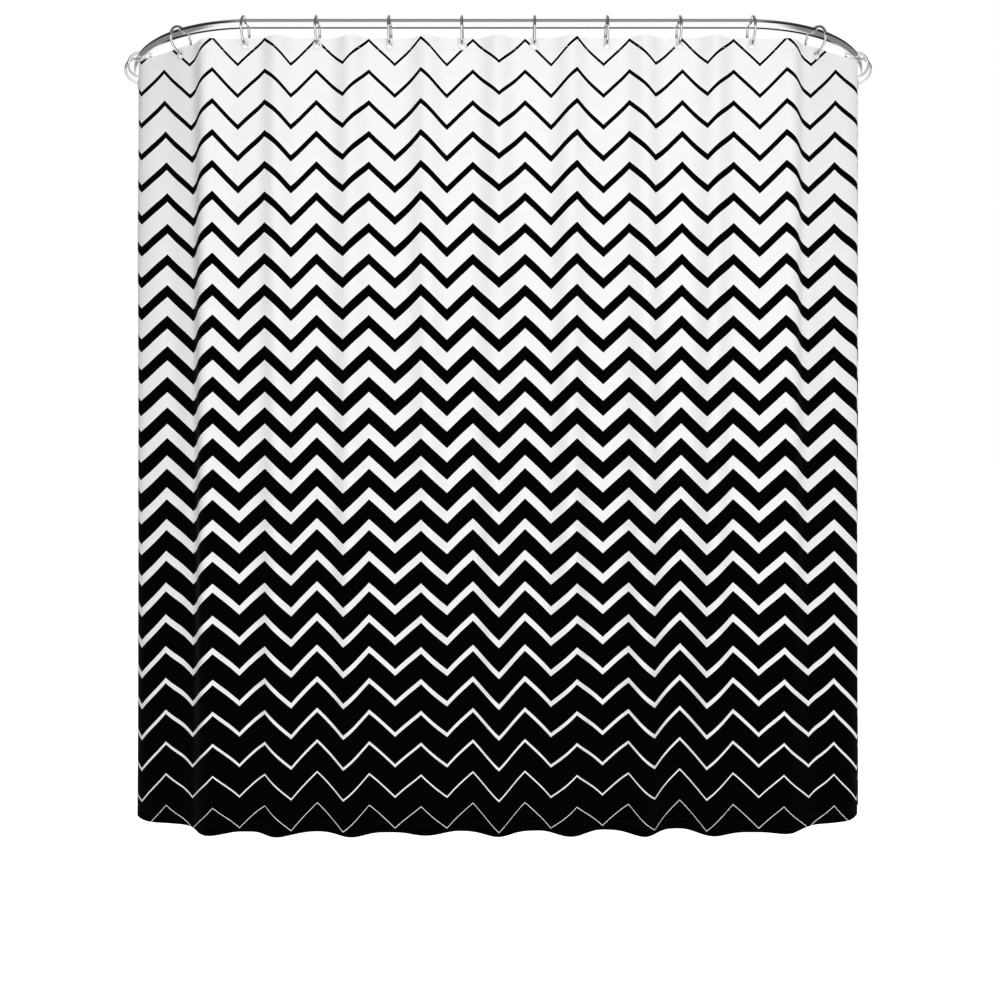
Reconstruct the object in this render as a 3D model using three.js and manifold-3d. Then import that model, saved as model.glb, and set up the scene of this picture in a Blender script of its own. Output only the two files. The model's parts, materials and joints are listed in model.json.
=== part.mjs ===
// A shower curtain hung on a U-shaped rod that stands out from a wall. Fourteen open metal rings
// slide on the rod and pass through the eyelets of one tall sheet of cloth, which wraps both corners.
// +Z is up, the curtain's front faces -Y and the rod's two ends meet the wall at the +Y side.
import * as THREE from "three";
import { mergeVertices } from "three/addons/utils/BufferGeometryUtils.js";
import Module from "manifold-3d";

const wasm = await Module();
wasm.setup();

// ---- Driving dimensions, in millimetres and degrees ----
const ROD_DIAMETER = 22;
const ROD_WALL = 1.2;
const FRONT_STRAIGHT = 1104; // straight run along the front
const CORNER_RADIUS = 375; // to the rod's centre line
const SIDE_STRAIGHT = 375; // from the end of a corner to the wall

const FLANGE_DIAMETER = 62;
const FLANGE_THICKNESS = 6;
const FLANGE_CHAMFER = 2;
const FLANGE_WEB = 3; // closed back, between the rod's end and the wall
const SOCKET_LENGTH = 22;
const SOCKET_WALL = 2.4;
const SCREWS_PER_FLANGE = 3;
const SCREW_CIRCLE_RADIUS = 22.5;
const SCREW_SHANK_DIAMETER = 4;
const SCREW_HEAD_DIAMETER = 8;
const SCREW_HEAD_DEPTH = 3;
const SCREW_END_CLEARANCE = 0.5; // shank stops this far short of the wall face

const RING_WIRE_DIAMETER = 5.7;
const RING_INSIDE_DIAMETER = 55.2;
const RING_GAP_FROM = -40; // the opening, in degrees above the ring's centre, on the inner side
const RING_GAP_TO = -16;

const EYELET_BORE_DIAMETER = 12;
const EYELET_FLANGE_DIAMETER = 21;
const EYELET_SLEEVE_WALL = 1.2;
const EYELET_FLANGE_THICKNESS = 0.9;

const CLOTH_THICKNESS = 1.6;
const CLOTH_DROP = 1800;
const HEADER = 20; // from the cloth's top edge to the middle of the eyelets
const SIDE_MARGIN = 35; // from the last eyelet to the cloth's free edge
const EYELET_PATCH = 23; // width of the flat cloth round an eyelet
const SEAM_PAST_PATCH = 5.5; // where two cloth pieces meet, past a patch
// How far a fold stands out between two eyelets, and how sharply: in front, round each corner, and
// the pleat that hangs inwards between the last two eyelets.
const FRONT_FOLD = { depth: 27, power: 4 };
const CORNER_FOLD = { depth: 20, power: 4 };
const PLEAT = { depth: -66, power: 2 };

const RING_PITCH = 163.7; // between front rings, along the rod
const FRONT_RINGS = 8;
const CORNER_RING_ANGLE = 28.9; // where the corner rings and the end rings hang, round the corner
const SECOND_RING_ANGLE = 58.5;
const END_RING_ANGLE = 64.5;
const SECOND_RING_YAW = 22; // the pull of the cloth turns this ring on the rod

// ---- Named clearances ----
const FIT = 0.3; // between pieces that touch
const RING_SEAT = 0.4; // ring over rod
const EYELET_SEAT = 0.7; // eyelet over ring wire

// ---- Facets ----
const ROD_SIDES = 12;
const ROD_STEPS = 52;
const WIRE_SIDES = 6;
const RING_STEPS = 24;
const LATHE_SEGMENTS = 14;
const FLANGE_SEGMENTS = 28;
const SCREW_SEGMENTS = 10;
const FOLD_STEPS = 12;

// ---- Derived values ----
const ROD_RADIUS = ROD_DIAMETER / 2;
const FRONT_HALF = FRONT_STRAIGHT / 2;
const CORNER_LENGTH = (CORNER_RADIUS * Math.PI) / 2;
const WALL_Y = CORNER_RADIUS + SIDE_STRAIGHT;
const WIRE_RADIUS = RING_WIRE_DIAMETER / 2;
const RING_RADIUS = RING_INSIDE_DIAMETER / 2 + WIRE_RADIUS; // to the middle of the wire
const RING_Z = ROD_RADIUS + RING_SEAT - RING_INSIDE_DIAMETER / 2;
const BORE_RADIUS = EYELET_BORE_DIAMETER / 2;
const SLEEVE_RADIUS = BORE_RADIUS + EYELET_SLEEVE_WALL;
const EYELET_Z = RING_Z - RING_RADIUS + WIRE_RADIUS + EYELET_SEAT - BORE_RADIUS;
const CLOTH_TOP = EYELET_Z + HEADER;
const CLOTH_BOTTOM = CLOTH_TOP - CLOTH_DROP;

const CHROME = { color: 0xd8dadc, metalness: 1, roughness: 0.12 };
const EYELET = { color: 0xe9e9e7, metalness: 0, roughness: 0.45 };
const CLOTH = { color: 0xb9b9b9, metalness: 0, roughness: 0.85 };

const radians = THREE.MathUtils.degToRad;

// ---- Places along the rod: distance is signed, from the middle of the front ----
function onCorner(angle) {
  return FRONT_HALF + CORNER_RADIUS * radians(angle);
}

function rodPlace(distance) {
  const side = distance < 0 ? -1 : 1;
  const along = Math.abs(distance);
  const turned = THREE.MathUtils.clamp(along - FRONT_HALF, 0, CORNER_LENGTH);
  const angle = turned / CORNER_RADIUS;
  const beyond = Math.max(0, along - FRONT_HALF - CORNER_LENGTH);
  return {
    x: side * (Math.min(along, FRONT_HALF) + CORNER_RADIUS * Math.sin(angle)),
    y: CORNER_RADIUS * (1 - Math.cos(angle)) + beyond,
    heading: side * angle,
  };
}

// A point moved out from the rod's line, at a right angle to it.
function outward(distance, offset) {
  const { x, y, heading } = rodPlace(distance);
  return new THREE.Vector2(x + offset * Math.sin(heading), y - offset * Math.cos(heading));
}

class RodPath extends THREE.Curve {
  constructor(half) {
    super();
    this.half = half;
  }
  getPoint(t, target = new THREE.Vector3()) {
    const { x, y } = rodPlace((2 * t - 1) * this.half);
    return target.set(x, y, 0);
  }
}

class RingPath extends THREE.Curve {
  getPoint(t, target = new THREE.Vector3()) {
    const angle = radians(RING_GAP_TO + t * (360 - RING_GAP_TO + RING_GAP_FROM));
    return target.set(0, RING_RADIUS * Math.cos(angle), RING_RADIUS * Math.sin(angle));
  }
}

// ---- Shapes ----
function polygon(radius, sides) {
  const points = [];
  for (let i = 0; i < sides; i++) {
    const angle = (2 * Math.PI * i) / sides;
    points.push(new THREE.Vector2(radius * Math.cos(angle), radius * Math.sin(angle)));
  }
  return points;
}

function tube(path, shape, steps) {
  return new THREE.ExtrudeGeometry(shape, { extrudePath: path, steps, bevelEnabled: false });
}

function lathe(profile, segments) {
  return new THREE.LatheGeometry(
    profile.map(([radius, height]) => new THREE.Vector2(radius, height)),
    segments,
  );
}

function solid(geometry) {
  const bare = geometry.clone();
  bare.deleteAttribute("normal");
  bare.deleteAttribute("uv");
  const merged = mergeVertices(bare, 1e-4);
  return new wasm.Manifold(
    new wasm.Mesh({
      numProp: 3,
      vertProperties: merged.attributes.position.array,
      triVerts: new Uint32Array(merged.index.array),
    }),
  );
}

function cut(geometry, tools) {
  let body = solid(geometry);
  for (const tool of tools) body = body.subtract(solid(tool));
  const mesh = body.getMesh();
  const result = new THREE.BufferGeometry();
  result.setAttribute("position", new THREE.BufferAttribute(mesh.vertProperties, 3));
  result.setIndex(new THREE.BufferAttribute(mesh.triVerts, 1));
  result.computeVertexNormals();
  return result;
}

const curtain = new THREE.Group();

function addMesh(parent, name, geometry, look) {
  const mesh = new THREE.Mesh(geometry, new THREE.MeshStandardMaterial(look));
  mesh.name = name;
  parent.add(mesh);
  return mesh;
}

// ---- Rod and wall flanges ----
function addRod() {
  const section = new THREE.Shape(polygon(ROD_RADIUS, ROD_SIDES));
  section.holes.push(new THREE.Path(polygon(ROD_RADIUS - ROD_WALL, ROD_SIDES)));
  const half = FRONT_HALF + CORNER_LENGTH + SIDE_STRAIGHT - FLANGE_WEB - FIT;
  addMesh(curtain, "curtain_rod", tube(new RodPath(half), section, ROD_STEPS), CHROME);
}

// A countersunk screw along Y: its head is flush with the flange's face, its shank reaches back.
function screwGeometry() {
  const head = SCREW_HEAD_DIAMETER / 2;
  const shank = SCREW_SHANK_DIAMETER / 2;
  return lathe(
    [
      [0, SCREW_END_CLEARANCE],
      [shank, SCREW_END_CLEARANCE],
      [shank, FLANGE_THICKNESS - SCREW_HEAD_DEPTH],
      [head, FLANGE_THICKNESS],
      [0, FLANGE_THICKNESS],
    ],
    SCREW_SEGMENTS,
  );
}

// The hole for that screw, run past both faces of the flange.
function screwHole() {
  const head = SCREW_HEAD_DIAMETER / 2 + FIT;
  const shank = SCREW_SHANK_DIAMETER / 2 + FIT;
  return lathe(
    [
      [0, -FIT],
      [shank, -FIT],
      [shank, FLANGE_THICKNESS - SCREW_HEAD_DEPTH],
      [head, FLANGE_THICKNESS],
      [head, FLANGE_THICKNESS + FIT],
      [0, FLANGE_THICKNESS + FIT],
    ],
    SCREW_SEGMENTS,
  );
}

function screwPlaces() {
  const places = [];
  for (let i = 0; i < SCREWS_PER_FLANGE; i++) {
    const angle = Math.PI / 2 + (2 * Math.PI * i) / SCREWS_PER_FLANGE;
    places.push([SCREW_CIRCLE_RADIUS * Math.cos(angle), SCREW_CIRCLE_RADIUS * Math.sin(angle)]);
  }
  return places;
}

function flangeGeometry() {
  const outer = FLANGE_DIAMETER / 2;
  const bore = ROD_RADIUS + FIT;
  const socket = bore + SOCKET_WALL;
  const blank = lathe(
    [
      [0, 0],
      [outer, 0],
      [outer, FLANGE_THICKNESS - FLANGE_CHAMFER],
      [outer - FLANGE_CHAMFER, FLANGE_THICKNESS],
      [socket, FLANGE_THICKNESS],
      [socket, FLANGE_THICKNESS + SOCKET_LENGTH],
      [bore, FLANGE_THICKNESS + SOCKET_LENGTH],
      [bore, FLANGE_WEB],
      [0, FLANGE_WEB],
    ],
    FLANGE_SEGMENTS,
  );
  const holes = screwPlaces().map(([x, z]) => screwHole().translate(x, 0, z));
  return cut(blank, holes);
}

function addFlange(side, word) {
  const mounted = new THREE.Group();
  mounted.position.set(side * (FRONT_HALF + CORNER_RADIUS), WALL_Y, 0);
  mounted.rotation.z = Math.PI; // the socket reaches away from the wall
  curtain.add(mounted);
  addMesh(mounted, `wall_flange_${word}`, flangeGeometry(), CHROME);
  screwPlaces().forEach(([x, z], i) => {
    const screw = addMesh(mounted, `flange_screw_${word}_${i + 1}`, screwGeometry(), CHROME);
    screw.position.set(x, 0, z);
  });
}

// ---- Rings and eyelets ----
// Each hanging place, from the left end of the curtain to the right end.
function hangingPlaces() {
  const right = [];
  for (let i = 0; i < FRONT_RINGS / 2; i++) {
    right.push({ distance: RING_PITCH * (i + 0.5), yaw: 0 });
  }
  right.push({ distance: onCorner(CORNER_RING_ANGLE), yaw: 0 });
  right.push({ distance: onCorner(SECOND_RING_ANGLE), yaw: SECOND_RING_YAW });
  right.push({ distance: onCorner(END_RING_ANGLE), yaw: 0 });
  const left = right.map(({ distance, yaw }) => ({ distance: -distance, yaw: -yaw }));
  return [...left.reverse(), ...right];
}

const PLACES = hangingPlaces();

function eyeletGeometry() {
  const inner = CLOTH_THICKNESS / 2 + FIT;
  const outer = inner + EYELET_FLANGE_THICKNESS;
  const rim = EYELET_FLANGE_DIAMETER / 2;
  return lathe(
    [
      [BORE_RADIUS, -outer],
      [rim, -outer],
      [rim, -inner],
      [SLEEVE_RADIUS, -inner],
      [SLEEVE_RADIUS, inner],
      [rim, inner],
      [rim, outer],
      [BORE_RADIUS, outer],
      [BORE_RADIUS, -outer],
    ],
    LATHE_SEGMENTS,
  );
}

function addRingsAndEyelets() {
  const wire = new THREE.Shape(polygon(WIRE_RADIUS, WIRE_SIDES));
  PLACES.forEach(({ distance, yaw }, i) => {
    const number = String(i + 1).padStart(2, "0");
    const { x, y, heading } = rodPlace(distance);
    const ring = addMesh(curtain, `ring_${number}`, tube(new RingPath(), wire, RING_STEPS), CHROME);
    ring.position.set(x, y, RING_Z);
    ring.rotation.z = heading + radians(yaw);
    const eyelet = addMesh(curtain, `eyelet_${number}`, eyeletGeometry(), EYELET);
    eyelet.position.set(x, y, EYELET_Z);
    eyelet.rotation.z = heading;
  });
}

// ---- Cloth ----
// The spans of cloth between the flat patches round neighbouring eyelets, each with its own fold.
const SPANS = PLACES.slice(1).map((place, i) => {
  const fromEnd = Math.min(i, PLACES.length - 2 - i);
  const fold = fromEnd === 0 ? PLEAT : fromEnd === 1 ? CORNER_FOLD : FRONT_FOLD;
  return {
    from: PLACES[i].distance + EYELET_PATCH / 2,
    to: place.distance - EYELET_PATCH / 2,
    ...fold,
  };
});

// Where the cloth runs, seen from above: in folds between eyelets, and flat round each eyelet.
function clothPoint(distance) {
  const span = SPANS.find(({ from, to }) => distance > from && distance < to);
  if (span) {
    const share = (distance - span.from) / (span.to - span.from);
    return outward(distance, span.depth * Math.sin(Math.PI * share) ** span.power);
  }
  const far = (place) => Math.abs(place.distance - distance);
  const eyelet = PLACES.reduce((best, place) => (far(place) < far(best) ? place : best));
  const { x, y, heading } = rodPlace(eyelet.distance);
  const ahead = distance - eyelet.distance;
  return new THREE.Vector2(x + ahead * Math.cos(heading), y + ahead * Math.sin(heading));
}

// Distances from one end of a cloth piece to the other, close enough to follow its folds.
function clothStations(from, to) {
  const stations = [from];
  for (const span of SPANS) {
    for (let i = 0; i <= FOLD_STEPS; i++) {
      const distance = span.from + ((span.to - span.from) * i) / FOLD_STEPS;
      if (distance > from + FIT && distance < to - FIT) stations.push(distance);
    }
  }
  stations.push(to);
  return stations;
}

// A vertical slab of cloth from one distance to another, with a hole for each eyelet on it.
function clothGeometry(from, to) {
  const line = clothStations(from, to).map(clothPoint);
  const normals = line.map((point, i) => {
    const before = line[Math.max(0, i - 1)];
    const after = line[Math.min(line.length - 1, i + 1)];
    const along = after.clone().sub(before).normalize();
    return new THREE.Vector2(along.y, -along.x);
  });
  const half = CLOTH_THICKNESS / 2;
  const outer = line.map((point, i) => point.clone().addScaledVector(normals[i], half));
  const inner = line.map((point, i) => point.clone().addScaledVector(normals[i], -half));
  const slab = new THREE.ExtrudeGeometry(new THREE.Shape([...outer, ...inner.reverse()]), {
    depth: CLOTH_DROP,
    bevelEnabled: false,
  });
  slab.translate(0, 0, CLOTH_BOTTOM);
  const within = ({ distance }) => distance > from && distance < to;
  return cut(slab, PLACES.filter(within).map(eyeletHole));
}

function eyeletHole({ distance }) {
  const { x, y, heading } = rodPlace(distance);
  const radius = SLEEVE_RADIUS + FIT;
  const length = EYELET_FLANGE_DIAMETER;
  const hole = new THREE.CylinderGeometry(radius, radius, length, LATHE_SEGMENTS);
  return hole.rotateZ(heading).translate(x, y, EYELET_Z);
}

function addCloth() {
  const patch = EYELET_PATCH / 2 + SEAM_PAST_PATCH;
  const shoulder = RING_PITCH * (FRONT_RINGS / 2 - 0.5) + patch;
  const corner = onCorner(CORNER_RING_ANGLE) + patch;
  const end = onCorner(SECOND_RING_ANGLE) - patch;
  const edge = onCorner(END_RING_ANGLE) + SIDE_MARGIN;
  addMesh(curtain, "cloth_front", clothGeometry(-shoulder, shoulder), CLOTH);
  const pieces = [
    ["shoulder", shoulder + FIT, corner],
    ["corner", corner + FIT, end],
    ["end", end + FIT, edge],
  ];
  for (const [part, from, to] of pieces) {
    addMesh(curtain, `cloth_right_${part}`, clothGeometry(from, to), CLOTH);
    addMesh(curtain, `cloth_left_${part}`, clothGeometry(-to, -from), CLOTH);
  }
}

addRod();
addFlange(-1, "left");
addFlange(1, "right");
addRingsAndEyelets();
addCloth();

// The origin is the middle of the bottom of the whole object's box.
curtain.updateMatrixWorld(true);
const box = new THREE.Box3().setFromObject(curtain, true);
const middle = box.getCenter(new THREE.Vector3());
curtain.position.set(-middle.x, -middle.y, -box.min.z);

export default curtain;
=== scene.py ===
"""Looks of the shower curtain: printed cloth in hanging folds, chromed rod, open rings, eyelets."""

import json
import math

import bmesh
import bpy
import numpy as np
from mathutils import Matrix, Vector

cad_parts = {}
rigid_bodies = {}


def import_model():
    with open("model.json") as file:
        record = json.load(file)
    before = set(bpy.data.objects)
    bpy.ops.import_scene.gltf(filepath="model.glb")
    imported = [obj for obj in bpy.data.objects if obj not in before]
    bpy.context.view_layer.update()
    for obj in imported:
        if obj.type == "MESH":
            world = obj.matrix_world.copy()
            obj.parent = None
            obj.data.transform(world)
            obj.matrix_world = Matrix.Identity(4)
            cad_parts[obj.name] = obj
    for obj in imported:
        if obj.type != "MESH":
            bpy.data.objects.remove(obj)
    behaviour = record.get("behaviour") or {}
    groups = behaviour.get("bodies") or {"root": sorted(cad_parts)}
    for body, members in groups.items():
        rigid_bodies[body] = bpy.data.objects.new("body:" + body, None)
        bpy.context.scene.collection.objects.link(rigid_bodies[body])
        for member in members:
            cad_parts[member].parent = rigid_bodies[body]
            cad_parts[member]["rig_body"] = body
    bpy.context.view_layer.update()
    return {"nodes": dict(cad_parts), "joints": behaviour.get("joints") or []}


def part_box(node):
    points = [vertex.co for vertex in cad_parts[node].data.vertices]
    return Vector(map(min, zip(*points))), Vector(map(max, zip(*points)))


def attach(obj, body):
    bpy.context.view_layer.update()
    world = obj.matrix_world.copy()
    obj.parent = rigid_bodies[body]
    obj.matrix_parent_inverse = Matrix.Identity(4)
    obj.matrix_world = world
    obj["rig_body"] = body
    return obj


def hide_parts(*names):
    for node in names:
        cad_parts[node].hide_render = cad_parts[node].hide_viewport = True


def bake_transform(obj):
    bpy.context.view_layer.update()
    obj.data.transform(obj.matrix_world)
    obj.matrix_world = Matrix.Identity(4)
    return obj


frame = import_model()

# ---- Sizes, in metres, and places from the frame ----
ROD_RADIUS = 0.011
CORNER_RADIUS = 0.375
ROD_LOW, ROD_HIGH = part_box("curtain_rod")
ROD_Z = (ROD_LOW.z + ROD_HIGH.z) / 2
FRONT_Y = ROD_LOW.y + ROD_RADIUS
SIDE_X = ROD_HIGH.x - ROD_RADIUS
FRONT_HALF = SIDE_X - CORNER_RADIUS
CORNER_LENGTH = CORNER_RADIUS * math.pi / 2
WALL_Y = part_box("wall_flange_left")[1].y

WIRE_RADIUS = 0.00285
RING_RADIUS = 0.03045
RING_GAP = (math.radians(-40), math.radians(-16))

EYELET_BORE = 0.006
EYELET_RIM = 0.0105
EYELET_HALF_HEIGHT = 0.0020
EYELET_WALL = 0.0012  # of the sleeve through the cloth
EYELET_SLOT = 0.0009  # half of the slot that holds the cloth
EYELET_TAPER = 0.0003  # the rims are this much thinner at their edge
EYELET_HOLE = EYELET_BORE + 0.0008  # the cloth's hole round the sleeve
EYELET_Z = sum(corner.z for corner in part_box("eyelet_05")) / 2

_, CLOTH_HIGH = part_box("cloth_front")
TOP_EDGE_DROP = 0.003  # the CAD solid's top stands this much above the sewn edge
CLOTH_TOP = CLOTH_HIGH.z - TOP_EDGE_DROP
CLOTH_LENGTH = 1.800
CLOTH_THICKNESS = 0.0004
SIDE_MARGIN = 0.035
HEADER_FOLD = 0.028
HEM_FOLD = 0.025
SIDE_FOLD = 0.012
FOLD_GAP = 0.0009
FOLD_BULGE = 0.0003  # a folded edge stands out this much
STITCH_INSET = 0.003  # the stitches run this far inside a fold's sewn edge
HEADER_STITCHES = HEADER_FOLD - STITCH_INSET
HEM_STITCHES = CLOTH_LENGTH - HEM_FOLD + STITCH_INSET
MID_HEIGHT = CLOTH_LENGTH / 2

FLOOR_Z = -0.31


def joint(name):
    return next(j for j in frame["joints"] if j["name"] == name)


def rod_place(distance):
    """x, y and heading at signed distances along the rod from the middle of the front."""
    along = np.abs(distance)
    side = np.where(np.asarray(distance) < 0, -1.0, 1.0)
    angle = np.clip(along - FRONT_HALF, 0, CORNER_LENGTH) / CORNER_RADIUS
    beyond = np.maximum(0, along - FRONT_HALF - CORNER_LENGTH)
    x = side * (np.minimum(along, FRONT_HALF) + CORNER_RADIUS * np.sin(angle))
    y = FRONT_Y + CORNER_RADIUS * (1 - np.cos(angle)) + beyond
    return x, y, side * angle


def rod_distance(point):
    """The signed distance along the rod of a point beside it."""
    x, y = point[0], point[1]
    if abs(x) <= FRONT_HALF:
        return x
    angle = math.atan2(abs(x) - FRONT_HALF, FRONT_Y + CORNER_RADIUS - y)
    return math.copysign(FRONT_HALF + CORNER_RADIUS * angle, x)


RINGS = [joint(f"ring_{i:02d}_turn") for i in range(1, 15)]
EYELETS = [rod_distance(ring["pos_m"]) for ring in RINGS]


# ---- Camera ----
CAMERA_DISTANCE = 2.264
CAMERA_BELOW_ROD = 1.066


def add_camera():
    camera = bpy.data.objects.new("camera", bpy.data.cameras.new("camera"))
    camera.data.sensor_width = 36
    camera.data.lens = 36
    camera.data.shift_x = 0.0018
    camera.data.shift_y = -0.005
    camera.location = (0, FRONT_Y - CAMERA_DISTANCE, ROD_Z - CAMERA_BELOW_ROD)
    camera.rotation_euler = (math.radians(90), 0, 0)
    bpy.context.scene.collection.objects.link(camera)
    bpy.context.scene.camera = camera


# ---- Node helpers ----
class Nodes:
    """Builds the node tree of a material, or of the world, with short calls."""

    def __init__(self, owner):
        owner.use_nodes = True
        self.owner = owner
        self.tree = owner.node_tree
        self.tree.nodes.clear()
        kind = "World" if isinstance(owner, bpy.types.World) else "Material"
        self.output = self.tree.nodes.new("ShaderNodeOutput" + kind)

    def add(self, kind, **values):
        node = self.tree.nodes.new(kind)
        for key, value in values.items():
            setattr(node, key, value)
        return node

    def put(self, socket, value):
        if isinstance(value, bpy.types.NodeSocket):
            self.tree.links.new(value, socket)
        else:
            socket.default_value = value

    def math(self, operation, a, b=0.0, c=0.0):
        node = self.add("ShaderNodeMath", operation=operation)
        for socket, value in zip(node.inputs, (a, b, c)):
            self.put(socket, value)
        return node.outputs[0]

    def noise(self, vector, scale, detail=3.0, roughness=0.5):
        node = self.add("ShaderNodeTexNoise")
        self.put(node.inputs["Vector"], vector)
        node.inputs["Scale"].default_value = scale
        node.inputs["Detail"].default_value = detail
        node.inputs["Roughness"].default_value = roughness
        return node.outputs["Fac"]

    def spread(self, value, low, high):
        """A 0 to 1 value mapped to a range."""
        node = self.add("ShaderNodeMapRange")
        self.put(node.inputs["Value"], value)
        node.inputs["To Min"].default_value = low
        node.inputs["To Max"].default_value = high
        return node.outputs["Result"]

    def ease(self, value, start, end):
        """0 before start, 1 after end, and a smooth step between them."""
        node = self.add("ShaderNodeMapRange", interpolation_type="SMOOTHSTEP")
        self.put(node.inputs["Value"], value)
        node.inputs["From Min"].default_value = start
        node.inputs["From Max"].default_value = end
        return node.outputs["Result"]

    def mix(self, share, a, b):
        node = self.add("ShaderNodeMix", data_type="RGBA")
        for socket, value in zip((node.inputs[0], node.inputs[6], node.inputs[7]), (share, a, b)):
            self.put(socket, value)
        return node.outputs[2]

    def bump(self, height, strength, distance, normal=None):
        node = self.add("ShaderNodeBump")
        self.put(node.inputs["Height"], height)
        node.inputs["Strength"].default_value = strength
        node.inputs["Distance"].default_value = distance
        if normal is not None:
            self.put(node.inputs["Normal"], normal)
        return node.outputs["Normal"]

    def principled(self, **values):
        node = self.add("ShaderNodeBsdfPrincipled")
        for key, value in values.items():
            self.put(node.inputs[key.replace("_", " ")], value)
        self.tree.links.new(node.outputs[0], self.output.inputs["Surface"])


def new_material(name):
    return Nodes(bpy.data.materials.new(name))


def grey(level):
    return (level, level, level, 1)


# ---- Print on the cloth, in metres of cloth from the top edge and from the middle ----
ZIGZAG_PERIOD = 0.11782
ZIGZAG_HEIGHT = 0.0559
ZIGZAG_CENTRE = 0.0018  # a valley lies here
ROW_PITCH = 0.06942
FIRST_LINE = 0.00746
LINE_GROWTH = 0.002505
STITCH_LENGTH = 0.0032
STITCH_SHARE = 0.78  # of a stitch's length that is thread
THREAD_HALF_WIDTH = 0.0004
DARK_THREAD_FROM = 1.0  # the hem is sewn in dark thread, the header in light
WEAVE_PITCH = 0.0006


def zigzag_ink(n, across, down):
    """1 where the print is black: zigzag rows whose lines get heavier row by row."""
    turn = n.math("DIVIDE", n.math("SUBTRACT", across, ZIGZAG_CENTRE), ZIGZAG_PERIOD)
    part = n.math("FRACT", n.math("ADD", turn, 100.0))
    rise = n.math("ABSOLUTE", n.math("SUBTRACT", n.math("MULTIPLY", part, 2.0), 1.0))
    level = n.math("SUBTRACT", down, n.math("MULTIPLY", rise, ZIGZAG_HEIGHT))
    rows = n.math("DIVIDE", level, ROW_PITCH)
    row = n.math("FLOOR", rows)
    within = n.math("MULTIPLY", n.math("SUBTRACT", rows, row), ROW_PITCH)
    line = n.math("MULTIPLY_ADD", row, LINE_GROWTH, FIRST_LINE)
    inked = n.math("LESS_THAN", within, line)
    below_first = n.math("GREATER_THAN", rows, 0.0)
    return n.math("MULTIPLY", inked, below_first)


def stitch_line(n, along, across, at):
    """1 on the thread of one row of stitches that runs along, at a distance across."""
    away = n.math("ABSOLUTE", n.math("SUBTRACT", across, at))
    near = n.math("LESS_THAN", away, THREAD_HALF_WIDTH)
    part = n.math("FRACT", n.math("ADD", n.math("DIVIDE", along, STITCH_LENGTH), 1000.0))
    return n.math("MULTIPLY", near, n.math("LESS_THAN", part, STITCH_SHARE))


def cloth_material(name, white_level, black_level):
    n = new_material(name)
    uv = n.add("ShaderNodeUVMap", uv_map="print").outputs[0]
    parts = n.add("ShaderNodeSeparateXYZ")
    n.put(parts.inputs[0], uv)
    ink = zigzag_ink(n, parts.outputs[0], parts.outputs[1])
    cloth = n.add("ShaderNodeUVMap", uv_map="cloth").outputs[0]
    sewn = n.add("ShaderNodeSeparateXYZ")
    n.put(sewn.inputs[0], cloth)
    across, down = sewn.outputs[0], sewn.outputs[1]
    mottle = n.noise(cloth, 9.0, 4.0)
    white = n.mix(mottle, grey(white_level - 0.02), grey(white_level + 0.02))
    black = n.mix(mottle, grey(black_level * 0.7), grey(black_level * 1.3))
    printed = n.mix(ink, white, black)
    thread = n.math(
        "MAXIMUM",
        stitch_line(n, across, down, HEADER_STITCHES),
        stitch_line(n, across, down, HEM_STITCHES),
    )
    in_hem = n.math("GREATER_THAN", down, DARK_THREAD_FROM)
    thread_colour = n.mix(in_hem, grey(0.70), grey(0.008))
    colour = n.mix(n.math("MULTIPLY", thread, 0.8), printed, thread_colour)
    warp = n.math("SINE", n.math("MULTIPLY", across, 2 * math.pi / WEAVE_PITCH))
    weft = n.math("SINE", n.math("MULTIPLY", down, 2 * math.pi / WEAVE_PITCH))
    weave = n.math("MULTIPLY", warp, weft)
    slub = n.noise(cloth, 420.0, 2.0)
    fine = n.bump(n.math("ADD", weave, slub), 0.12, 0.00015)
    wrinkled = n.bump(n.noise(cloth, 26.0, 3.0, 0.45), 0.08, 0.0030, fine)
    n.principled(
        Base_Color=colour,
        Roughness=n.spread(n.noise(cloth, 60.0, 3.0), 0.66, 0.80),
        Normal=n.bump(thread, 0.35, 0.0004, wrinkled),
        Specular_IOR_Level=0.012,
        Sheen_Weight=0.004,
        Sheen_Roughness=0.5,
    )
    return n.owner


def chrome_material(name, tint, gloss, grain):
    """Plated steel: its brightness and roughness, each from one value to another, and its grain."""
    n = new_material(name)
    place = n.add("ShaderNodeTexCoord").outputs["Object"]
    smudge = n.noise(place, 55.0, 5.0, 0.6)
    speck = n.noise(place, 900.0, 2.0)
    n.principled(
        Base_Color=n.mix(smudge, grey(tint[0]), grey(tint[1])),
        Metallic=1.0,
        Roughness=n.spread(smudge, *gloss),
        Normal=n.bump(speck, grain, 0.0001),
    )
    return n.owner


def screw_material():
    n = new_material("zinc_screw")
    place = n.add("ShaderNodeTexCoord").outputs["Object"]
    grain = n.noise(place, 1500.0, 3.0)
    n.principled(
        Base_Color=n.mix(grain, (0.52, 0.53, 0.55, 1), (0.70, 0.71, 0.72, 1)),
        Metallic=1.0,
        Roughness=n.spread(grain, 0.22, 0.40),
        Normal=n.bump(grain, 0.05, 0.0001),
    )
    return n.owner


def eyelet_material():
    n = new_material("white_eyelet")
    place = n.add("ShaderNodeTexCoord").outputs["Object"]
    cloud = n.noise(place, 300.0, 3.0)
    n.principled(
        Base_Color=n.mix(cloud, (0.80, 0.80, 0.80, 1), (0.88, 0.88, 0.88, 1)),
        Roughness=n.spread(cloud, 0.28, 0.42),
        Normal=n.bump(cloud, 0.03, 0.0001),
    )
    return n.owner


# ---- Mesh helpers ----
def add_object(name, mesh, material, smooth=True):
    mesh.materials.append(material)
    if smooth:
        mesh.shade_smooth()
    piece = bpy.data.objects.new(name, mesh)
    bpy.context.scene.collection.objects.link(piece)
    return piece


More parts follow.
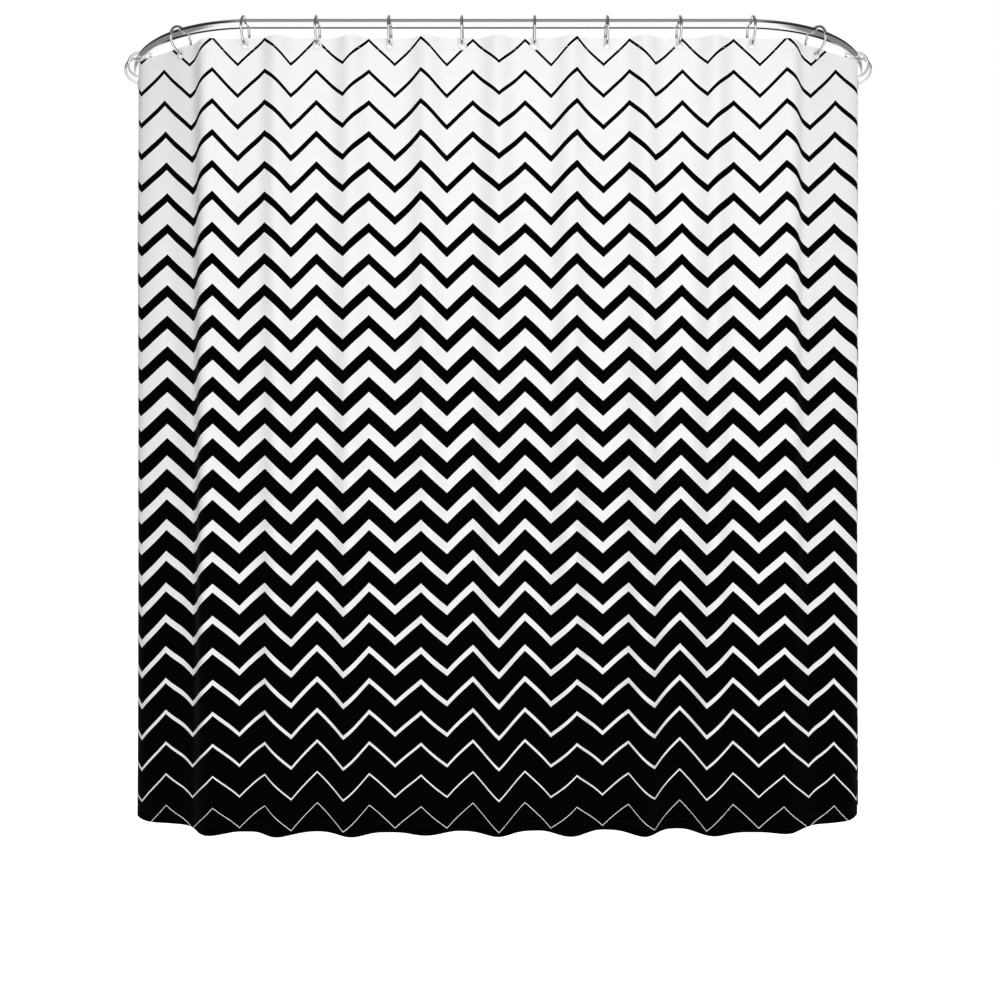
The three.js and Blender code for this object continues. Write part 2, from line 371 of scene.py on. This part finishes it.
def mesh_of(name, points, faces):
    mesh = bpy.data.meshes.new(name)
    mesh.from_pydata([tuple(map(float, p)) for p in points], [], faces)
    mesh.update()
    return mesh


def lathe_mesh(name, profile, segments):
    """A closed (radius, height) outline turned round the local Z axis."""
    count = len(profile)
    points = []
    for i in range(segments):
        angle = 2 * math.pi * i / segments
        points += [(r * math.cos(angle), r * math.sin(angle), z) for r, z in profile]
    faces = []
    for i in range(segments):
        here, there = i * count, ((i + 1) % segments) * count
        for j in range(count):
            k = (j + 1) % count
            faces.append((here + j, there + j, there + k, here + k))
    mesh = mesh_of(name, points, faces)
    work = bmesh.new()
    work.from_mesh(mesh)
    bmesh.ops.remove_doubles(work, verts=work.verts, dist=1e-6)
    bmesh.ops.recalc_face_normals(work, faces=work.faces)
    work.to_mesh(mesh)
    work.free()
    return mesh


def rounded(corners, radius, steps=5):
    """An outline with each listed corner turned by a small arc, in the order given."""
    outline = []
    count = len(corners)
    for i, corner in enumerate(corners):
        here = Vector(corner)
        back = Vector(corners[i - 1]) - here
        ahead = Vector(corners[(i + 1) % count]) - here
        cut = min(radius, 0.45 * back.length, 0.45 * ahead.length)
        start = here + back.normalized() * cut
        end = here + ahead.normalized() * cut
        for j in range(steps + 1):
            t = j / steps
            outline.append(start * (1 - t) ** 2 + here * 2 * t * (1 - t) + end * t * t)
    return [(p.x, p.y) for p in outline]


def swept_mesh(name, centres, sides, radii):
    """A round bar along a list of (point, side direction, up direction), with closed ends."""
    points = []
    for (centre, out, up), radius in zip(centres, map(float, radii)):
        for i in range(sides):
            angle = 2 * math.pi * i / sides
            points.append(centre + radius * (out * math.cos(angle) + up * math.sin(angle)))
    faces = []
    for i in range(len(centres) - 1):
        for j in range(sides):
            k = (j + 1) % sides
            a, b = i * sides, (i + 1) * sides
            faces.append((a + j, a + k, b + k, b + j))
    faces.append(tuple(range(sides - 1, -1, -1)))
    faces.append(tuple(range((len(centres) - 1) * sides, len(centres) * sides)))
    mesh = mesh_of(name, points, faces)
    work = bmesh.new()
    work.from_mesh(mesh)
    bmesh.ops.recalc_face_normals(work, faces=work.faces)
    work.to_mesh(mesh)
    work.free()
    return mesh


# ---- Rod, flanges and screws ----
def add_rod(chrome):
    half = FRONT_HALF + CORNER_LENGTH + ROD_HIGH.y - (FRONT_Y + CORNER_RADIUS)
    steps = 420
    centres = []
    for distance in np.linspace(-half, half, steps):
        x, y, heading = rod_place(distance)
        out = Vector((math.sin(heading), -math.cos(heading), 0))
        centres.append((Vector((x, y, ROD_Z)), out, Vector((0, 0, 1))))
    mesh = swept_mesh("rod_tube", centres, 48, [ROD_RADIUS] * steps)
    rod = add_object("rod_tube", mesh, chrome)
    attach(rod, "rod_and_front")
    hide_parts("curtain_rod")


FLANGE_RADIUS = 0.031
FLANGE_THICKNESS = 0.006
SOCKET_REACH = 0.028
SOCKET_OUTER = 0.0137
SOCKET_BORE = 0.0112
FLANGE_WEB = 0.003
FLANGE_EDGE = 0.0035
FLANGE_BEVEL = 0.003
SOCKET_FILLET_OUT, SOCKET_FILLET_UP = 0.0015, 0.0025
LATHE_CORE = 0.0001  # solid outlines start this close to their axis
SCREW_CIRCLE = 0.0225
SCREW_HEAD = 0.004
SCREW_SHANK = 0.002
SCREW_HEAD_DEPTH = 0.003
SCREW_FOOT = 0.0005
SCREW_PROUD = 0.00001
SCREW_HOLE_GAP = 0.0002
DRIVE_SLOT = (0.0042, 0.0008, 0.0024)  # length, width, and depth above and below the head's face


def flange_outline():
    corners = [
        (LATHE_CORE, 0.0),
        (FLANGE_RADIUS, 0.0),
        (FLANGE_RADIUS, FLANGE_EDGE),
        (FLANGE_RADIUS - FLANGE_BEVEL, FLANGE_THICKNESS),
        (SOCKET_OUTER + SOCKET_FILLET_OUT, FLANGE_THICKNESS),
        (SOCKET_OUTER, FLANGE_THICKNESS + SOCKET_FILLET_UP),
        (SOCKET_OUTER, SOCKET_REACH),
        (SOCKET_BORE, SOCKET_REACH),
        (SOCKET_BORE, FLANGE_WEB),
        (LATHE_CORE, FLANGE_WEB),
    ]
    return rounded(corners, 0.0009)


def screw_outline(grow):
    """A countersunk screw or, with some growth, the hole that it fits."""
    foot = SCREW_FOOT - grow * 10
    top = FLANGE_THICKNESS + grow * 10 + SCREW_PROUD
    return [
        (LATHE_CORE, foot),
        (SCREW_SHANK + grow, foot),
        (SCREW_SHANK + grow, FLANGE_THICKNESS - SCREW_HEAD_DEPTH),
        (SCREW_HEAD + grow, FLANGE_THICKNESS),
        (SCREW_HEAD + grow, top),
        (LATHE_CORE, top),
    ]


def subtract(piece, tool):
    modifier = piece.modifiers.new("cut", "BOOLEAN")
    modifier.operation = "DIFFERENCE"
    modifier.solver = "EXACT"
    modifier.object = tool
    bpy.context.view_layer.update()
    graph = bpy.context.evaluated_depsgraph_get()
    mesh = bpy.data.meshes.new_from_object(piece.evaluated_get(graph))
    piece.modifiers.clear()
    piece.data = mesh
    bpy.data.objects.remove(tool)


def drive_slot(material, centre, angle):
    """One bar of the cross that a screwdriver fits."""
    bpy.ops.mesh.primitive_cube_add(size=1)
    bar = bpy.context.object
    bar.data.materials.append(material)
    bar.dimensions = DRIVE_SLOT
    bpy.ops.object.transform_apply(location=False, rotation=False, scale=True)
    bar.matrix_world = Matrix.Translation(centre) @ Matrix.Rotation(angle, 4, "Z")
    return bar


def add_flange(side, word, metal, zinc):
    wall_to_room = Matrix.Rotation(math.radians(90), 4, "X")
    place = Matrix.Translation((side * SIDE_X, WALL_Y, ROD_Z)) @ wall_to_room
    flange = add_object(f"flange_{word}", lathe_mesh("flange", flange_outline(), 96), metal)
    for i in range(3):
        angle = math.pi / 2 + 2 * math.pi * i / 3
        centre = Vector((SCREW_CIRCLE * math.cos(angle), SCREW_CIRCLE * math.sin(angle), 0))
        hole = add_object("hole", lathe_mesh("hole", screw_outline(SCREW_HOLE_GAP), 32), metal)
        hole.location = centre
        subtract(flange, hole)
        name = f"screw_{word}_{i + 1}"
        screw = add_object(name, lathe_mesh(name, screw_outline(0), 32), zinc, smooth=False)
        for turn in (0, math.pi / 2):
            subtract(screw, drive_slot(zinc, Vector((0, 0, FLANGE_THICKNESS)), turn + 0.5 * i))
        screw.matrix_world = place @ Matrix.Translation(centre)
        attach(screw, "rod_and_front")
        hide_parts(f"flange_screw_{word}_{i + 1}")
    flange.data.shade_smooth()
    flange.data.set_sharp_from_angle(angle=math.radians(35))
    flange.matrix_world = place
    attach(flange, "rod_and_front")
    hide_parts(f"wall_flange_{word}")


# ---- Rings and eyelets ----
def ring_mesh():
    """An open ring in the local YZ plane, with rounded ends beside its opening."""
    start, end = RING_GAP[1], 2 * math.pi + RING_GAP[0]
    cap = WIRE_RADIUS / RING_RADIUS
    turns = np.linspace(0, math.pi / 2, 9)
    head = start + cap * (1 - np.cos(turns))
    tail = end - cap * (1 - np.cos(turns[::-1]))
    middle = np.linspace(start + cap, end - cap, 110)[1:-1]
    narrowing = np.maximum(0.00005, WIRE_RADIUS * np.sin(turns))
    radii = np.concatenate([narrowing, np.full(len(middle), WIRE_RADIUS), narrowing[::-1]])
    centres = []
    for angle in np.concatenate([head, middle, tail]):
        out = Vector((0, math.cos(angle), math.sin(angle)))
        centres.append((out * RING_RADIUS, out, Vector((1, 0, 0))))
    return swept_mesh("ring", centres, 20, radii)


def eyelet_outline():
    sleeve = EYELET_BORE + EYELET_WALL
    rim_face = EYELET_HALF_HEIGHT - EYELET_TAPER
    corners = [
        (EYELET_BORE, -EYELET_HALF_HEIGHT),
        (EYELET_RIM, -rim_face),
        (EYELET_RIM, -EYELET_SLOT),
        (sleeve, -EYELET_SLOT),
        (sleeve, EYELET_SLOT),
        (EYELET_RIM, EYELET_SLOT),
        (EYELET_RIM, rim_face),
        (EYELET_BORE, EYELET_HALF_HEIGHT),
    ]
    return rounded(corners, 0.0006, 4)


def add_rings_and_eyelets(chrome, plastic):
    for i, ring in enumerate(RINGS, 1):
        axis = Vector(ring["axis"])
        yaw = math.atan2(axis.y, axis.x)
        piece = add_object(f"curtain_ring_{i:02d}", ring_mesh(), chrome)
        piece.matrix_world = Matrix.Translation(ring["pos_m"]) @ Matrix.Rotation(yaw, 4, "Z")
        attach(piece, ring["child"])
        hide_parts(f"ring_{i:02d}")
        x, y, heading = rod_place(EYELETS[i - 1])
        mesh = lathe_mesh("eyelet", eyelet_outline(), 56)
        eyelet = add_object(f"eyelet_ring_{i:02d}", mesh, plastic)
        face_out = Matrix.Rotation(float(heading), 4, "Z") @ Matrix.Rotation(math.pi / 2, 4, "X")
        eyelet.matrix_world = Matrix.Translation((x, y, EYELET_Z)) @ face_out
        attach(eyelet, frame["nodes"][f"eyelet_{i:02d}"]["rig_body"])
        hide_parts(f"eyelet_{i:02d}")


# ---- Cloth ----
# Each span of cloth between two eyelets, from left to right: how far its fold stands out at the
# top and at the hem, in metres, where in the span its crest lies, and how sharp it is.
PLEAT = (-0.064, -0.058, 0.50, 2.0)
FOLDS = [
    PLEAT,
    (0.022, 0.022, 0.31, 1.3),
    (0.024, 0.022, 0.50, 4.2),
    (0.025, 0.017, 0.45, 4.4),
    (0.025, 0.016, 0.47, 4.4),
    (0.024, 0.006, 0.52, 4.4),
    (0.025, 0.013, 0.49, 4.4),
    (0.025, 0.012, 0.50, 4.4),
    (0.025, 0.012, 0.52, 4.4),
    (0.025, 0.011, 0.48, 4.4),
    (0.024, 0.009, 0.52, 4.2),
    (0.022, 0.017, 0.69, 1.3),
    PLEAT,
]
# How far the cloth under each eyelet drifts inwards on its way to the hem, and the depth below the
# top where it gets there.
SLOW, QUICK = 1.8, 0.40
DRIFTS = [
    (0, SLOW),
    (0, SLOW),
    (0.014, QUICK),
    (0.013, SLOW),
    (0.013, SLOW),
    (0.008, SLOW),
    (0.0165, SLOW),
    (0.0185, SLOW),
    (0.0245, SLOW),
    (0.034, SLOW),
    (0.008, SLOW),
    (0.010, QUICK),
    (0, SLOW),
    (0, SLOW),
]
EYELET_FLAT = 0.0115
DROOP = 0.0035
EDGE_CURL = 0.009  # the free edges turn in this far
FLAT_LOST, FLAT_LOST_BY = 0.75, 0.5  # how much of an eyelet's flat goes, and by what depth
SOFTER, SOFTER_FROM, SOFTER_OVER = 0.3, 0.7, 1.1  # folds round off, from and over a depth
BROAD_RIPPLE, FINE_RIPPLE = 0.0012, 0.0007
RIPPLE_FROM, RIPPLE_OVER = 0.06, 0.5

# How closely the cloth's mesh is divided.
STATION_STEP = 0.0019
PLEAT_STATIONS, FOLD_STATIONS, UNDER_STATIONS = 64, 36, 6
HEADER_ROWS, EYELET_ROWS, BODY_ROWS, HEM_ROWS = 12, 19, 118, 5


def smooth(t):
    t = np.clip(t, 0, 1)
    return t * t * (3 - 2 * t)


def skewed(share, crest):
    """A share of a span bent so that its middle falls where the crest lies."""
    if crest < 0.5:
        return 1 - skewed(1 - share, 1 - crest)
    return share ** (math.log(0.5) / math.log(crest))


def fold_offset(distance, down):
    """How far the cloth stands out from the rod's line, at a distance and a depth below the top."""
    fall = smooth(down / CLOTH_LENGTH)
    offset = np.zeros(np.broadcast(distance, down).shape)
    for i, fold in enumerate(FOLDS):
        top, hem, place, sharpness = fold
        start, end = EYELETS[i], EYELETS[i + 1]
        share = np.clip((distance - start) / (end - start), 0, 1)
        opened = 0 if fold is PLEAT else FLAT_LOST * smooth(down / FLAT_LOST_BY)
        flat = EYELET_FLAT / (end - start) * (1 - opened)
        within = skewed(np.clip((share - flat) / (1 - 2 * flat), 0, 1), place)
        crest = top + (hem - top) * fall
        left, right = (amount * smooth(down / depth) for amount, depth in DRIFTS[i : i + 2])
        valley = -(left + (right - left) * smooth(share))
        soften = 0 if fold is PLEAT else SOFTER * smooth((down - SOFTER_FROM) / SOFTER_OVER)
        shape = np.sin(np.pi * within) ** (sharpness * (1 - soften))
        inside = (distance >= start) & (distance <= end)
        offset = np.where(inside, valley + (crest - valley) * shape, offset)
    beyond = np.clip((np.abs(distance) - EYELETS[-1]) / SIDE_MARGIN, 0, 1)
    offset = offset - EDGE_CURL * beyond**2
    broad = np.sin(distance * 41 + down * 2.1) * np.sin(down * 5.3 + distance * 7)
    fine = np.sin(distance * 97 - down * 3.7 + 1.3)
    ripple = BROAD_RIPPLE * broad + FINE_RIPPLE * fine
    return offset + ripple * smooth((down - RIPPLE_FROM) / RIPPLE_OVER)


def droop(distance, down):
    """How far the cloth's edge hangs lower between two eyelets than at them."""
    low = np.zeros(np.broadcast(distance, down).shape)
    for i in range(1, len(EYELETS) - 2):
        share = (distance - EYELETS[i]) / (EYELETS[i + 1] - EYELETS[i])
        inside = (share >= 0) & (share <= 1)
        low = np.where(inside, DROOP * np.sin(np.pi * np.clip(share, 0, 1)) ** 2, low)
    return low


def cloth_points(distance, down):
    x, y, heading = rod_place(distance)
    offset = fold_offset(distance, down)
    z = CLOTH_TOP - down - droop(distance, down)
    return np.stack([x + offset * np.sin(heading), y - offset * np.cos(heading), z], axis=-1)


def span_stations(start, end, pleat):
    """Distances across one span, closer together near its eyelets."""
    edge = np.arange(0, EYELET_FLAT, STATION_STEP)
    count = PLEAT_STATIONS if pleat else FOLD_STATIONS
    middle = np.linspace(EYELET_FLAT, end - start - EYELET_FLAT, count)
    return np.concatenate([start + edge, start + middle, end - edge[::-1]])


# The artwork's place on the cloth is worked out from the camera's distance and height, so that it
# looks even from the front where the curtain turns its corners. A real print isn't laid out so.
# LEAST_PRINT is the least print that a length of cloth gets, which limits how wide it is drawn.
ARTWORK_DISTANCE = CAMERA_DISTANCE
ARTWORK_HEIGHT = ROD_Z - CAMERA_BELOW_ROD
LEAST_PRINT = 0.55
PRINT_SAMPLES = 8001
PRINT_SMOOTHING = 121  # samples, an odd number
PRINT_SPARE = 0.01  # the table goes on this far past the free edges


def print_table():
    """Distances along the rod, and how far across the print each lies from the middle."""
    reach = EYELETS[-1] + SIDE_MARGIN + PRINT_SPARE
    line = np.linspace(-reach, reach, PRINT_SAMPLES)
    points = cloth_points(line, np.full(len(line), MID_HEIGHT))
    run = np.linalg.norm(np.diff(points[:, :2], axis=0), axis=1)
    scale = ARTWORK_DISTANCE / (ARTWORK_DISTANCE + points[:, 1] - FRONT_Y)
    drawn = np.maximum(np.diff(points[:, 0] * scale), LEAST_PRINT * run)
    padded = np.pad(drawn, PRINT_SMOOTHING // 2, mode="edge")
    drawn = np.convolve(padded, np.ones(PRINT_SMOOTHING) / PRINT_SMOOTHING, mode="valid")
    middle = np.abs(line[1:] + line[:-1]) / 2
    drawn = np.where(middle > EYELETS[-2], run, drawn)
    across = np.concatenate([[0], np.cumsum(drawn)])
    return line, across - np.interp(0, line, across)


def print_places(line, down):
    """Where each point of the cloth lies on the artwork, across and down."""
    across = np.interp(line, *PRINT_TABLE)
    scale = ARTWORK_DISTANCE / (ARTWORK_DISTANCE + rod_place(line)[1] - FRONT_Y)
    height = ARTWORK_HEIGHT + (CLOTH_TOP - down[:, None] - ARTWORK_HEIGHT) * scale
    return np.stack(np.broadcast_arrays(across, CLOTH_TOP - height), axis=-1)


def columns(first, last):
    """Stations from one eyelet to another, run on past the end eyelets to a folded side hem."""
    stations = []
    for i in range(first, last):
        pleat = i in (0, len(FOLDS) - 1)
        run = span_stations(EYELETS[i], EYELETS[i + 1], pleat)
        stations.append(run if i == last - 1 else run[:-1])
    line = np.concatenate(stations)
    back = np.zeros(len(line))
    margin = np.concatenate([np.arange(STATION_STEP, SIDE_MARGIN, STATION_STEP), [SIDE_MARGIN]])
    folded = np.concatenate([[FOLD_BULGE, 0.0], -np.linspace(0.002, SIDE_FOLD, UNDER_STATIONS)])
    depth = np.concatenate([[0.5, 1.0], np.ones(UNDER_STATIONS)]) * FOLD_GAP
    if last == len(EYELETS) - 1:
        line = np.concatenate([line, EYELETS[-1] + margin, EYELETS[-1] + SIDE_MARGIN + folded])
        back = np.concatenate([back, 0 * margin, depth])
    if first == 0:
        left = EYELETS[0] - np.concatenate([margin, SIDE_MARGIN + folded])
        line = np.concatenate([left[::-1], line])
        back = np.concatenate([np.concatenate([0 * margin, depth])[::-1], back])
    return line, back


def rows():
    """Depths below the top edge, from the folded header down the front to the folded hem."""
    header = np.linspace(HEADER_FOLD, 0.0, HEADER_ROWS)
    by_eyelets = np.linspace(0.0, 0.034, EYELET_ROWS)
    body = np.linspace(0.040, CLOTH_LENGTH - 0.036, BODY_ROWS)
    stitched = HEM_FOLD - STITCH_INSET
    above_hem = [0.030, stitched + 0.001, stitched, stitched - 0.001, 0.014, 0.006, 0.0]
    front = np.concatenate([by_eyelets, body, CLOTH_LENGTH - np.array(above_hem)])
    hem_back = CLOTH_LENGTH - np.linspace(0.0, HEM_FOLD, HEM_ROWS)
    hem_turn = [CLOTH_LENGTH + FOLD_BULGE]
    down = np.concatenate([header, [-FOLD_BULGE], front, hem_turn, hem_back])
    turn = [FOLD_GAP / 2]
    behind_header = np.full(HEADER_ROWS, FOLD_GAP)
    behind_hem = np.full(HEM_ROWS, FOLD_GAP)
    back = np.concatenate([behind_header, turn, np.zeros(len(front)), turn, behind_hem])
    return down, back


STITCH_DIP, STITCH_DIP_WIDTH = 0.0003, 0.0012


def stitch_dip(down):
    """The stitches pull the cloth in a little."""
    header = np.exp(-(((down - HEADER_STITCHES) / STITCH_DIP_WIDTH) ** 2))
    hem = np.exp(-(((down - HEM_STITCHES) / STITCH_DIP_WIDTH) ** 2))
    return STITCH_DIP * (header + hem)


def cloth_mesh(name, first, last):
    line, side_back = columns(first, last)
    down, row_back = rows()
    s, v = np.meshgrid(line, down)
    points = cloth_points(s, v)
    step = 0.0004
    tangent = (cloth_points(s + step, v) - cloth_points(s - step, v))[..., :2]
    tangent /= np.linalg.norm(tangent, axis=-1, keepdims=True)
    inward = side_back[None, :] + row_back[:, None] + stitch_dip(v) * (row_back[:, None] == 0)
    points[..., 0] -= inward * tangent[..., 1]
    points[..., 1] += inward * tangent[..., 0]
    keep = keep_faces(points)
    height, width = s.shape
    faces = []
    for i in range(height - 1):
        for j in range(width - 1):
            if keep[i, j]:
                a = i * width + j
                faces.append((a, a + width, a + width + 1, a + 1))
    mesh = mesh_of(name, points.reshape(-1, 3), faces)
    corner = np.zeros(len(mesh.loops), int)
    mesh.loops.foreach_get("vertex_index", corner)
    path = cloth_points(line, np.full(width, MID_HEIGHT))[:, :2]
    run = np.linalg.norm(np.diff(path, axis=0), axis=1)
    sewn = np.stack(np.broadcast_arrays(np.concatenate([[0], np.cumsum(run)]), v), axis=-1)
    for label, places in (("print", print_places(line, down)), ("cloth", sewn)):
        layer = mesh.uv_layers.new(name=label)
        layer.data.foreach_set("uv", places.reshape(-1, 2)[corner].reshape(-1))
    tidy_loose(mesh)
    return mesh


def keep_faces(points):
    """False for the faces that an eyelet's sleeve goes through."""
    near = np.zeros(points.shape[:2], bool)
    for distance in EYELETS:
        x, y, _ = rod_place(distance)
        centre = np.array([x, y, EYELET_Z])
        near |= np.linalg.norm(points - centre, axis=-1) < EYELET_HOLE
    return ~(near[:-1, :-1] | near[1:, :-1] | near[:-1, 1:] | near[1:, 1:])


def tidy_loose(mesh):
    work = bmesh.new()
    work.from_mesh(mesh)
    loose = [vertex for vertex in work.verts if not vertex.link_faces]
    bmesh.ops.delete(work, geom=loose, context="VERTS")
    work.to_mesh(mesh)
    work.free()


def flat_width(first, last):
    """The cloth's own width between two stations, measured along its folds."""
    line, back = columns(first, last)
    line = line[back == 0]
    path = cloth_points(line, np.full(len(line), MID_HEIGHT))[:, :2]
    return float(np.linalg.norm(np.diff(path, axis=0), axis=1).sum())


def thicken(piece):
    """Gives a sheet its thickness, with the second material on its back."""
    solidify = piece.modifiers.new("thickness", "SOLIDIFY")
    solidify.thickness = CLOTH_THICKNESS
    solidify.offset = 0
    solidify.material_offset = 1
    bpy.context.view_layer.update()
    graph = bpy.context.evaluated_depsgraph_get()
    mesh = bpy.data.meshes.new_from_object(piece.evaluated_get(graph))
    piece.modifiers.clear()
    piece.data = mesh
    mesh.set_sharp_from_angle(angle=math.radians(50))


def add_cloth(name, first, last, materials, replaced):
    piece = add_object(name, cloth_mesh(name, first, last), materials[0])
    piece.data.materials.append(materials[1])
    thicken(piece)
    piece.visible_glossy = False
    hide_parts(*replaced)
    flat_width(first, last)
    return piece


def add_curtain(materials):
    front = add_cloth("curtain_front", 3, 10, materials, ["cloth_front"])
    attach(front, "rod_and_front")
    sides = [("left", 0, 1, 2, 3), ("right", 13, 12, 11, 10)]
    for word, end, second, corner, shoulder in sides:
        low, high = sorted((corner, shoulder))
        nodes = [f"cloth_{word}_shoulder"]
        piece = add_cloth(f"curtain_{word}_shoulder", low, high, materials, nodes)
        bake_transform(piece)
        low, high = sorted((end, corner))
        nodes = [f"cloth_{word}_corner", f"cloth_{word}_end"]
        piece = add_cloth(f"curtain_{word}_side", low, high, materials, nodes)
        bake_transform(piece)


# ---- Stage: floor, light and surroundings ----
def add_floor():
    mesh = mesh_of(
        "floor",
        [(-40, -40, FLOOR_Z), (40, -40, FLOOR_Z), (40, 40, FLOOR_Z), (-40, 40, FLOOR_Z)],
        [(0, 1, 2, 3)],
    )
    n = new_material("pale_floor")
    diffuse = n.add("ShaderNodeBsdfDiffuse")
    diffuse.inputs["Color"].default_value = grey(0.6)
    glow = n.add("ShaderNodeEmission")
    seen = n.add("ShaderNodeLightPath").outputs["Is Camera Ray"]
    n.put(glow.inputs["Strength"], n.spread(seen, 0.18, 1.0))
    both = n.add("ShaderNodeAddShader")
    n.put(both.inputs[0], diffuse.outputs[0])
    n.put(both.inputs[1], glow.outputs[0])
    n.put(n.output.inputs["Surface"], both.outputs[0])
    floor = add_object("floor", mesh, n.owner, smooth=False)
    floor.visible_glossy = False


# Brightness that chrome sees in the studio: the open front, the sides, the ceiling and its far
# corners, and the floor behind the curtain.
STUDIO_FRONT, STUDIO_SIDE, CEILING, CEILING_SIDE, FLOOR_BEHIND = 1.15, 0.26, 0.32, 0.03, 0.03
WORLD_FILL = 0.24
# Where one part of the studio turns into the next, as a share of a direction along one axis.
BEHIND, UNDERFOOT = (0.0, 0.12), (0.58, 0.68)
WALL_CORNER, CEILING_CORNER, CEILING_EDGE = (0.55, 0.80), (0.30, 0.50), (0.33, 0.42)


def add_world():
    """White to the camera, an even fill to the cloth, and a studio with bands to the chrome."""
    n = Nodes(bpy.data.worlds.new("studio"))
    bpy.context.scene.world = n.owner
    parts = n.add("ShaderNodeSeparateXYZ")
    n.put(parts.inputs[0], n.add("ShaderNodeTexCoord").outputs["Generated"])
    x, y, z = parts.outputs
    sideways = n.math("ABSOLUTE", x)
    downward = n.math("MULTIPLY", z, -1.0)
    behind = n.math("MULTIPLY", n.ease(y, *BEHIND), n.ease(downward, *UNDERFOOT))
    walls = n.mix(n.ease(sideways, *WALL_CORNER), grey(STUDIO_FRONT), grey(STUDIO_SIDE))
    lower = n.mix(behind, walls, grey(FLOOR_BEHIND))
    upper = n.mix(n.ease(sideways, *CEILING_CORNER), grey(CEILING), grey(CEILING_SIDE))
    mirrored = n.mix(n.ease(z, *CEILING_EDGE), lower, upper)
    path = n.add("ShaderNodeLightPath")
    lit = n.mix(path.outputs["Is Glossy Ray"], grey(WORLD_FILL), mirrored)
    background = n.add("ShaderNodeBackground")
    n.put(background.inputs["Color"], n.mix(path.outputs["Is Camera Ray"], lit, grey(1.0)))
    n.put(n.output.inputs["Surface"], background.outputs[0])


def add_light(name, place, target, width, height, power):
    light = bpy.data.lights.new(name, "AREA")
    light.shape = "RECTANGLE"
    light.size = width
    light.size_y = height
    light.energy = power
    lamp = bpy.data.objects.new(name, light)
    lamp.location = place
    lamp.rotation_euler = (Vector(target) - Vector(place)).to_track_quat("-Z", "Y").to_euler()
    lamp.visible_glossy = False
    bpy.context.scene.collection.objects.link(lamp)


def add_lights():
    middle = (0, FRONT_Y, 0.95)
    add_light("front_softbox", (0.3, FRONT_Y - 4.5, 1.5), middle, 3.0, 2.2, 142)
    add_light("side_softbox", (3.9, 1.1, 1.2), (0.9, 0, 1.0), 1.6, 2.2, 33)
    add_light("back_softbox", (0, 4.2, 1.7), (0, 0, 1.0), 3.2, 2.4, 95)


add_camera()
add_world()
add_lights()
add_floor()
bpy.context.scene.view_settings.view_transform = "Standard"

CHROME = chrome_material("polished_chrome", (0.80, 0.89), (0.03, 0.09), 0.02)
SATIN = chrome_material("satin_chrome", (0.50, 0.60), (0.20, 0.34), 0.08)
add_rod(CHROME)
ZINC = screw_material()
add_flange(-1, "left", SATIN, ZINC)
add_flange(1, "right", SATIN, ZINC)
add_rings_and_eyelets(CHROME, eyelet_material())
PRINT_TABLE = print_table()
FACE = cloth_material("printed_polyester", 0.92, 0.0009)
BACK = cloth_material("polyester_back", 0.88, 0.045)
add_curtain([FACE, BACK])
